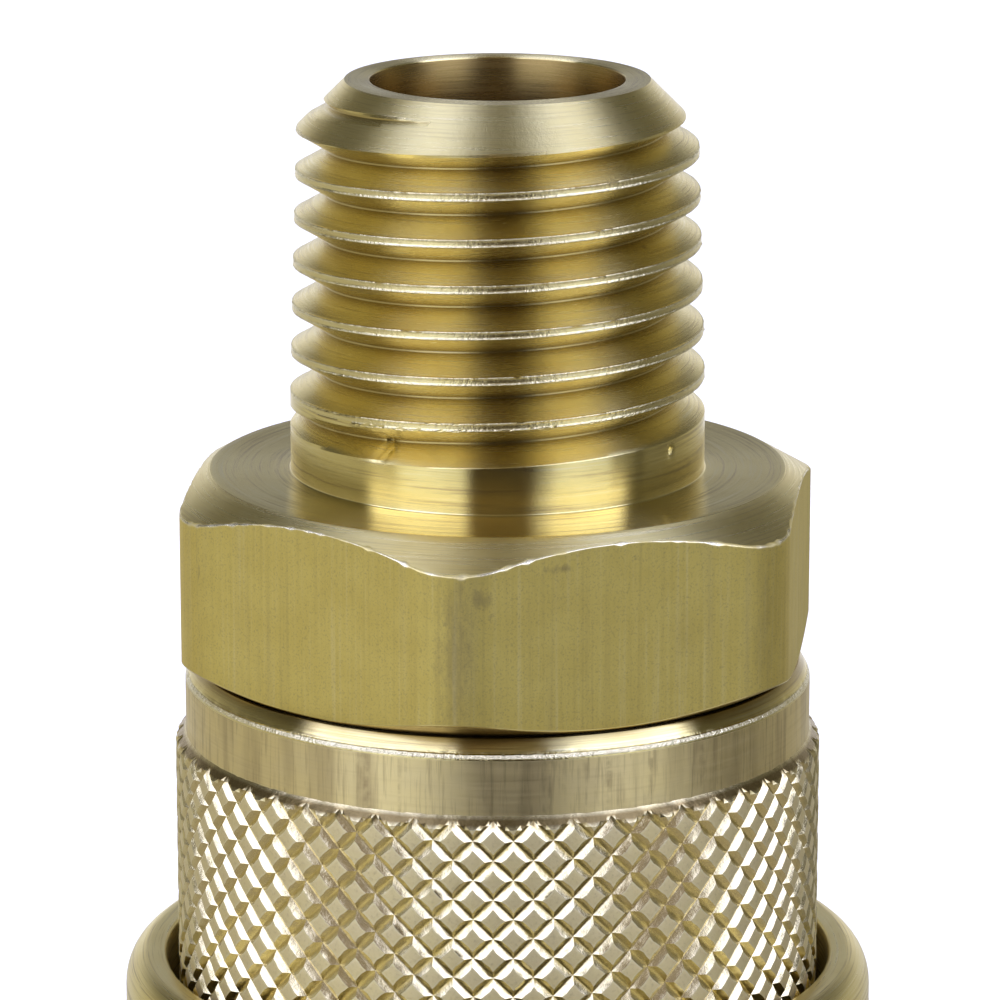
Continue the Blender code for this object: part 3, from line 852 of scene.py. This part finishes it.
def knurl_band(shell, radius, top_z, bottom_z, first_turn, limit, seed):
    """A band of diamond knurling: crossed V grooves that leave flat-topped diamonds.

    The groove walls end a fifth of a pitch from the groove's bottom, so with ten samples to the
    pitch every edge lies on the grid or on one of its diagonals. Where the limit is lowest the
    surface is plain and has the first material, the diamonds' tops have the second material and
    the groove walls the third.
    """
    samples = 10
    wall = 2 / samples
    turns = circle_turns(KNURL_COUNT * samples) + first_turn
    pitch = tau * radius / KNURL_COUNT
    columns = KNURL_COUNT * samples
    step = pitch / samples
    rows = max(2, round((top_z - bottom_z) / step) + 1)
    z = top_z - np.arange(rows) * step
    z[-1] = bottom_z
    across = np.arange(columns) / samples
    down = np.arange(rows)[:, None] / samples - KNURL_LEAD
    one_way, other_way = across + down, across - down

    def away(value):
        return np.abs(value - np.round(value))

    nearest = np.minimum(away(one_way), away(other_way))
    share = unit(nearest / wall)
    random = np.random.default_rng(seed)
    rough = random.standard_normal(share.shape)
    edge = np.abs(nearest - wall) < 0.01

    def moved(value, other):
        """Frets the upper edge of a groove's walls between the crossings."""
        near, far = away(value), away(other)
        toward = np.sign(np.round(value) - value)
        reach = np.interp(near, (wall / 2, wall, 0.5), (0, 1, 0)) * unit(far / wall - 1)
        return toward * reach * -0.05 * random.uniform(0, 1, near.shape)

    def crown(value):
        """How far a diamond's top has sunk at the groove's edge, from 0 at its middle to 1."""
        return (1 - unit((away(value) - wall) / (0.5 - wall))) ** 2

    one_shift, other_shift = moved(one_way, other_way), moved(other_way, one_way)
    inner_rows = np.ones((rows, 1))
    inner_rows[[0, 1, -2, -1]] = 0
    turns_at = turns + (one_shift + other_shift) / 2 * inner_rows * tau / KNURL_COUNT
    z_at = z[:, None] - (one_shift - other_shift) / 2 * inner_rows * pitch

    edge_drop, edge_ragged, wall_ragged = 0.002, 0.004, 0.005
    surface = radius - KNURL_DEPTH * (1 - share)
    surface -= edge * (edge_drop + edge_ragged * np.abs(rough))
    surface += wall_ragged * rough * (share < 0.9)
    surface -= KNURL_CROWN * (crown(one_way) + crown(other_way))
    # Diamond edges are rubbed, and each groove's bottom gets a pale painted highlight line.
    wear_and_painted_light = np.where(edge, 0.6, np.where(share < 0.1, 0.4, 0.0))
    top = limit(z_at)
    margin = 0.001
    plain, cut_off = top < top.min() + margin, top < surface - margin
    # Where the limit cuts the knurling, on the ramp under the collar and the sleeve's end cones,
    # painted shade darkens it.
    wear_and_painted_light = np.where(plain, 0, np.where(cut_off, -1, wear_and_painted_light))
    surface = np.where(plain, top, np.minimum(surface, top))
    points = ring(surface, turns_at, z_at)
    faces = []
    for row in range(rows - 1):
        for column in range(columns):
            following = (column + 1) % columns
            a, b = row * columns + column, row * columns + following
            c, d = (row + 1) * columns + following, (row + 1) * columns + column
            # The diagonals run with the grooves, whose direction changes every half pitch.
            half_across = (2 * column + 1) // samples
            half_down = floor((2 * row + 1) / samples - 2 * KNURL_LEAD)
            if (half_across + half_down) % 2:
                faces += [[a, b, d], [b, c, d]]
            else:
                faces += [[a, b, c], [a, c, d]]
    corners = np.array(faces)
    whole = (share > 0.999) & ~cut_off
    is_top = whole.reshape(-1)[corners].all(axis=1)
    is_plain = plain.reshape(-1)[corners].all(axis=1)
    shell.add(points, faces, wear_and_painted_light, np.where(is_plain, 0, np.where(is_top, 1, 2)))
    return points, turns


def body(plain, knurl_top, knurl_wall, turned):
    shell = Shell()
    band_top_z = KNURL_CROSSING_Z + tau * KNURL_R / KNURL_COUNT * KNURL_LEAD

    def ramp(z):
        """The cone between the collar and the knurling's full height."""
        share = unit((COLLAR_BOTTOM_Z - z) / (COLLAR_BOTTOM_Z - KNURL_TOP_Z))
        return COLLAR_R + (KNURL_R - COLLAR_R) * share

    band, turns = knurl_band(shell, KNURL_R, band_top_z, KNURL_BOTTOM_Z, KNURL_TURN, ramp, 1)
    collar = [
        (COLLAR_R, band_top_z + 0.05), (COLLAR_R, (COLLAR_BOTTOM_Z + COLLAR_TOP_Z) / 2),
        (COLLAR_R, COLLAR_TOP_Z - 0.14), (COLLAR_R, COLLAR_TOP_Z - 0.1),
    ]
    shell.grid([band[0]] + lathe(collar, turns))
    nicks = 0.02 * unit(wobble(turns, 21, (41, 67, 97, 131)))
    # The collar's upper edge is a burr, and a painted shadow from the hexagon darkens the cone
    # inside it.
    rim = [
        ring(COLLAR_R, turns, COLLAR_TOP_Z - 0.1),
        ring(COLLAR_R - 0.006, turns, COLLAR_TOP_Z - 0.08),
        ring(COLLAR_R - 0.028 - nicks * 0.5, turns, COLLAR_TOP_Z - 0.03),
        ring(COLLAR_R - 0.05 - nicks, turns, COLLAR_TOP_Z + 0.02),
        ring(COLLAR_R - 0.075 - nicks, turns, COLLAR_TOP_Z + 0.06),
        ring(COLLAR_R - 0.1 - nicks / 2, turns, COLLAR_TOP_Z + 0.1),
    ]
    rubbed = np.array([0, 0.3, 1, 1, 1, 0.2])[:, None]
    shell.grid(rim, wear_and_painted_light=rubbed, kind=3)
    top = [rim[-1]] + lathe([
        (COLLAR_R - 0.16, COLLAR_TOP_Z + 0.2), (COLLAR_R - 0.24, COLLAR_TOP_Z + 0.32),
        (COLLAR_TOP_R, BODY_SEAM_Z - 0.03), (COLLAR_TOP_R - 0.03, BODY_SEAM_Z),
        (REAR_BORE_R + 0.3, BODY_SEAM_Z), (REAR_BORE_R, BODY_SEAM_Z - 0.3),
    ], turns)
    shadow_strength = 0.75 + 0.25 * wobble(turns, 24, (2, 3, 7, 12))
    painted_shadow = -np.array([0, 0.25, 0.7, 1, 1, 1, 0.6])[:, None] * shadow_strength
    shell.grid(top, wear_and_painted_light=painted_shadow, kind=3)
    above_holes_z, behind_holes_z = 8.5, 9.0
    lower = [
        (REAR_BORE_R, BODY_SEAM_Z - 0.3), (REAR_BORE_R, CHAMBER_TOP_Z),
        (CHAMBER_R, CHAMBER_TOP_Z), (CHAMBER_R, SEAL_POCKET_TOP_Z),
        (SEAL_POCKET_R, SEAL_POCKET_TOP_Z), (SEAL_POCKET_R, LIP_TOP_Z),
        (LIP_R, LIP_TOP_Z), (LIP_R, LIP_BOTTOM_Z),
        (MOUTH_R, MOUTH_END_Z), (MOUTH_R, behind_holes_z), (MOUTH_R, 0.65),
        (MOUTH_R + 0.05, 0.5), (MOUTH_FLARE_R - 0.07, 0.04), (MOUTH_FLARE_R, 0),
        (NOSE_FACE_R, 0), (NOSE_R - 0.02, 0.26), (NOSE_R, 0.34), (NOSE_R, RING_GROOVE_BOTTOM_Z),
        (RING_GROOVE_R, RING_GROOVE_BOTTOM_Z), (RING_GROOVE_R, RING_GROOVE_TOP_Z),
        (NOSE_R, RING_GROOVE_TOP_Z), (NOSE_R, above_holes_z), (NOSE_R, KNURL_BOTTOM_Z),
    ]
    shell.grid(lathe(lower, turns) + [band[-1]], kind=3)
    piece = shell.piece("socket_body_fine", [plain, knurl_top, knurl_wall, turned], sharp=20)
    for index in range(BALL_COUNT):
        cutter = ball_hole_cutter(index)
        hole = piece.modifiers.new(f"ball_hole_{index}", "BOOLEAN")
        hole.operation = "DIFFERENCE"
        hole.solver = "MANIFOLD"
        hole.object = cutter
    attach(piece, "socket")
    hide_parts("socket_body")


def ball_turn(index):
    return (index + 0.5) * tau / BALL_COUNT


def ball_hole_cutter(index):
    slope = (BALL_HOLE_R - BALL_STOP_R) / (BALL_PLACE_R - MOUTH_R)
    inner_r = MOUTH_R - 1.0
    outline = [
        (0.0, NOSE_R + 1.0), (BALL_HOLE_R, NOSE_R + 1.0), (BALL_HOLE_R, BALL_PLACE_R),
        (BALL_STOP_R - slope, inner_r), (0.0, inner_r),
    ]
    shell = Shell()
    shell.grid(lathe(outline, circle_turns(48)))
    cutter = shell.piece(f"ball_hole_cutter_{index}", [], weld=0.002)
    lay_down = Matrix.Rotation(pi / 2, 4, "Y")
    place = Matrix.Translation((0, 0, BALL_Z * MM)) @ Matrix.Rotation(ball_turn(index), 4, "Z")
    cutter.data.transform(place @ lay_down)
    cutter.hide_render = True
    cutter.hide_viewport = True
    return cutter


def sleeve(plain, knurl_top, knurl_wall):
    shell = Shell()
    top_z, bottom_z = SLEEVE_KNURL_TOP_Z, SLEEVE_KNURL_BOTTOM_Z

    def shoulders(z):
        """Both ends of the knurling run out on a shallow cone."""
        from_top = unit((top_z - z) / SLEEVE_KNURL_EDGE)
        from_bottom = unit((z - bottom_z) / SLEEVE_KNURL_EDGE)
        share = np.minimum(from_top, from_bottom)
        return SLEEVE_R - KNURL_DEPTH + KNURL_DEPTH * share

    band, turns = knurl_band(shell, SLEEVE_R, top_z, bottom_z, 0, shoulders, 7)
    groove_r = SLEEVE_R - KNURL_DEPTH - 0.02
    above = [
        (groove_r, top_z + 0.03), (groove_r, top_z + 0.3),
        (SLEEVE_R - 0.05, top_z + 0.42), (SLEEVE_R, top_z + 0.5),
    ]
    above += [
        (SLEEVE_R - RIM_ROUND_WIDTH * u, RIM_Z - RIM_ROUND_HEIGHT * v) for u, v in quarter(11)
    ]
    above += [
        (SKIRT_R + RIM_INNER_EDGE * v, RIM_Z - 0.02 - RIM_INNER_EDGE * 1.4 * u)
        for u, v in quarter(5)
    ]
    cone_bottom_r = LAND_R + (LAND_BOTTOM_Z - CONE_BOTTOM_Z) * CONE_SLOPE
    inside = [
        (SKIRT_R, LAND_TOP_Z + 0.2), (SKIRT_R - 0.2, LAND_TOP_Z),
        (LAND_R + 0.15, LAND_TOP_Z), (LAND_R, LAND_TOP_Z - 0.15), (LAND_R, LAND_BOTTOM_Z),
        (cone_bottom_r, CONE_BOTTOM_Z), (cone_bottom_r, RING_RECESS_TOP_Z),
        (RING_RECESS_R, RING_RECESS_TOP_Z), (RING_RECESS_R, SLEEVE_FRONT_Z + 0.2),
        (RING_RECESS_R + 0.2, SLEEVE_FRONT_Z),
    ]
    front = [
        (SLEEVE_R - FRONT_ROUND * v, SLEEVE_FRONT_Z + FRONT_ROUND * u) for u, v in quarter(7)
    ]
    front += [
        (SLEEVE_R, bottom_z - 0.5), (SLEEVE_R - 0.05, bottom_z - 0.42),
        (groove_r, bottom_z - 0.3), (groove_r, bottom_z - 0.03),
    ]
    shell.grid([band[0]] + lathe(above + inside + front, turns) + [band[-1]])
    piece = shell.piece("release_sleeve_fine", [plain, knurl_top, knurl_wall], sharp=20)
    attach(piece, "sleeve")
    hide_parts("release_sleeve")


# ---- small pieces


def balls(material):
    for index in range(BALL_COUNT):
        mesh = bmesh.new()
        bmesh.ops.create_icosphere(mesh, subdivisions=5, radius=BALL_R * MM)
        turn = ball_turn(index)
        x, y = BALL_PLACE_R * cos(turn), BALL_PLACE_R * sin(turn)
        centre = Vector((x, y, BALL_Z)) * MM
        bmesh.ops.translate(mesh, vec=centre, verts=mesh.verts)
        ball = mesh_object(f"lock_ball_{index + 1}_fine", mesh, [material])
        ball.data.shade_smooth()
        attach(ball, f"ball_{index + 1}")
        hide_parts(f"lock_ball_{index + 1}")


def rectangle(inner_r, low, high):
    """Outline of a plain ring from its inner radius and its box."""
    return [(inner_r, low[2]), (high[0], low[2]), (high[0], high[2]), (inner_r, high[2])]


def turned_piece(node, body_name, outline, material, edge=0.08):
    """A lathe piece that stands for a node of the frame."""
    shell = Shell()
    closed = not (outline[0][0] == 0 and outline[-1][0] == 0)
    points = rounded(outline, edge, closed=closed)
    if closed:
        points.append(points[0])
    shell.grid(lathe(points, circle_turns(144)))
    piece = shell.piece(f"{node}_fine", [material], sharp=40)
    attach(piece, body_name)
    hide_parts(node)


def retaining_ring(material):
    outline = rectangle(RING_GROOVE_R + GAP, *box_mm("retaining_ring"))
    section = rounded(outline, 0.12)
    turns = np.linspace(0, tau - RING_OPENING, 181)
    rings = np.stack(lathe(section, turns))
    count, steps = rings.shape[:2]
    index = np.arange(count * steps).reshape(count, steps)
    faces = []
    for i in range(count):
        j = (i + 1) % count
        for k in range(steps - 1):
            faces.append([index[i, k], index[i, k + 1], index[j, k + 1], index[j, k]])
    faces += [index[:, 0], index[::-1, -1]]
    shell = Shell()
    shell.add(rings, faces)
    piece = shell.piece("retaining_ring_fine", [material], sharp=40)
    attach(piece, "socket")
    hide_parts("retaining_ring")


def coil(node, body_name, joint, material, wire_r, coil_r, turns_count, travel):
    """A wire spring with closed turns at each end, filling its node's box."""
    low, high = box_mm(node)
    low_z, high_z = low[2], high[2]
    steps, sides = 48, 14
    closed_pitch = 2.2 * wire_r
    rise = high_z - low_z - 2 * wire_r
    open_pitch = (rise - 2 * CLOSED_TURNS * closed_pitch) / (turns_count - 2 * CLOSED_TURNS)
    at = np.arange(round(turns_count * steps) + 1) / steps
    low_part = np.minimum(at, CLOSED_TURNS)
    high_part = np.maximum(at - (turns_count - CLOSED_TURNS), 0)
    closed_rise = (low_part + high_part) * closed_pitch
    z = low_z + wire_r + closed_rise + (at - low_part - high_part) * open_pitch
    around_wire = circle_turns(sides)
    radius = coil_r + wire_r * np.cos(around_wire)
    height = z[:, None] + wire_r * np.sin(around_wire)
    turn = at[:, None] * tau
    points = ring(radius, turn, height)
    shell = Shell()
    shell.grid(points)
    last = points.shape[0] - 1
    ends = [list(range(sides)), [last * sides + k for k in reversed(range(sides))]]
    shell.faces += ends
    shell.kinds += [0, 0]
    piece = shell.piece(f"{node}_fine", [material], sharp=50)
    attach(piece, body_name)
    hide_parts(node)
    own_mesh(piece)


def valve(brass_material, rubber_material):
    low, high = box_mm("valve_poppet")
    poppet = [
        (0, high[2]), (POPPET_GUIDE_R - 1.2, high[2]), (POPPET_GUIDE_R, high[2] - 0.9),
        (POPPET_GUIDE_R, POPPET_HEAD_TOP_Z), (high[0], POPPET_HEAD_TOP_Z),
        (high[0], POPPET_HEAD_BOTTOM_Z), (POPPET_NOSE_R, POPPET_HEAD_BOTTOM_Z),
        (POPPET_NOSE_R, low[2] + 0.4), (POPPET_NOSE_R - 0.4, low[2]), (0, low[2]),
    ]
    turned_piece("valve_poppet", "valve", poppet, brass_material)
    ring_piece("valve_face_seal", POPPET_NOSE_R + GAP, "valve", rubber_material)


def ring_piece(node, inner_r, body_name, material, edge=0.1):
    """A plain ring the size of its node, with rounded edges."""
    outline = rectangle(inner_r, *box_mm(node))
    turned_piece(node, body_name, outline, material, edge)


def seals(brass_material, rubber_material, gasket_material):
    ring_piece("seal_washer", WASHER_R, "socket", brass_material, 0.12)
    ring_piece("adapter_gasket", GASKET_R, "socket", gasket_material)
    low, high = box_mm("plug_seal")
    floor_z = low[2] + CUP_FLOOR
    cup = [
        (CUP_INNER_R[0], low[2]), (high[0], low[2]), (high[0], high[2]), (CUP_LIPS[3], high[2]),
        (CUP_LIPS[2], floor_z), (CUP_LIPS[1], floor_z), (CUP_LIPS[0], high[2]),
        (CUP_INNER_R[1], high[2]),
    ]
    turned_piece("plug_seal", "socket", cup, rubber_material, 0.15)


# ---- the scene


def follow_turn(nodes, turn, band):
    """The band's colour at that turn."""
    node = nodes.add("ShaderNodeValToRGB")
    nodes.feed(node.inputs[0], turn)
    entries = node.color_ramp.elements
    while len(entries) < len(band):
        entries.new(0.5)
    for entry, (degrees, level, tint) in zip(entries, band):
        entry.position = (degrees + 90) / 180
        entry.color = (*(level * part for part in tint), 1)
    return node.outputs[0]


def blend(nodes, value, start, end, first, second):
    """From first to second as value goes from start to end."""
    share = nodes.span(value, start, end, interpolation_type="SMOOTHSTEP")
    return nodes.mix(share, first, second)


def make_world():
    """A light tent: a bright panel to each side of the lens, with a dark gap between them.

    The panels' upright edges lie in planes through one line behind the object, and each height
    in the tent has its own band of panels.
    """
    world = bpy.data.worlds.new("light_tent")
    bpy.context.scene.world = world
    world.use_nodes = True
    nodes = Nodes(world.node_tree)
    x, y, z = nodes.split(nodes.add("ShaderNodeTexCoord").outputs["Generated"])
    ahead = nodes.math("SUBTRACT", HINGE_Y, y)
    turn = nodes.math("DIVIDE", nodes.math("ARCTAN2", x, ahead), pi)
    turn = nodes.math("ADD", turn, 0.5)
    low, middle, high = (
        follow_turn(nodes, turn, band) for band in (LOW_BAND, MIDDLE_BAND, HIGH_BAND)
    )
    sides = blend(nodes, z, -0.8, -0.6, BELOW, low)
    sides = blend(nodes, z, 0.12, 0.38, sides, middle)
    sides = blend(nodes, z, 0.7, 0.8, sides, high)
    # Close to the hinge line all panels would meet, so the tent's back wall takes over there.
    back = blend(nodes, z, -0.06, 0.1, *BACK_WALL)
    tent = blend(nodes, nodes.length(x, ahead), 0.07, 0.2, back, sides)
    background = world.node_tree.nodes["Background"]
    nodes.feed(background.inputs["Color"], tent)


make_camera()
make_world()
make_floor(paper("floor_paper"))
make_floor_light()
bpy.context.scene.view_settings.view_transform = "Standard"

turned = turned_brass("turned_brass", 0.14, 1.0, 0.02, 0.6)
sleeve_turned = turned_brass("sleeve_turned_brass", 0.26, 0.5)
cone_brass = turned_brass("cone_brass", 0.25, 0.8, 0.1, 0.3)
thread_brass = turned_brass("thread_brass", 0.2, 0.95, 0.08, 0.35, 0.7, THREAD_STAINS)
# Full-strength darkening for the painted shade inside the bore.
bore_brass = turned_brass("bore_brass", 0.22, 0.0, 0.0, 0.2, 1.0)
drawn = drawn_brass("drawn_brass")
knurl_top = knurled_brass("knurl_top_brass", 0.6, 0.25, 14)
knurl_wall = knurled_brass("knurl_wall_brass", 0.22, 0.15, 9)
collar_brass = rolled_brass("collar_brass")
steel = bright_steel("bright_steel", STEEL, 0.14)
spring_steel = bright_steel("spring_steel", SPRING_STEEL, 0.22)
black_rubber = rubber("black_rubber", BLACK_RUBBER)
brown_rubber = rubber("gasket_rubber", BROWN_RUBBER)

adapter(turned, drawn, cone_brass, thread_brass, bore_brass)
body(collar_brass, knurl_top, knurl_wall, turned)
sleeve(sleeve_turned, knurl_top, knurl_wall)
balls(steel)
retaining_ring(steel)
coil("sleeve_spring", "spring", "sleeve_slide", spring_steel, **SLEEVE_SPRING)
coil("valve_spring", "socket", "valve_slide", spring_steel, **VALVE_SPRING)
valve(turned, black_rubber)
seals(turned, black_rubber, brown_rubber)
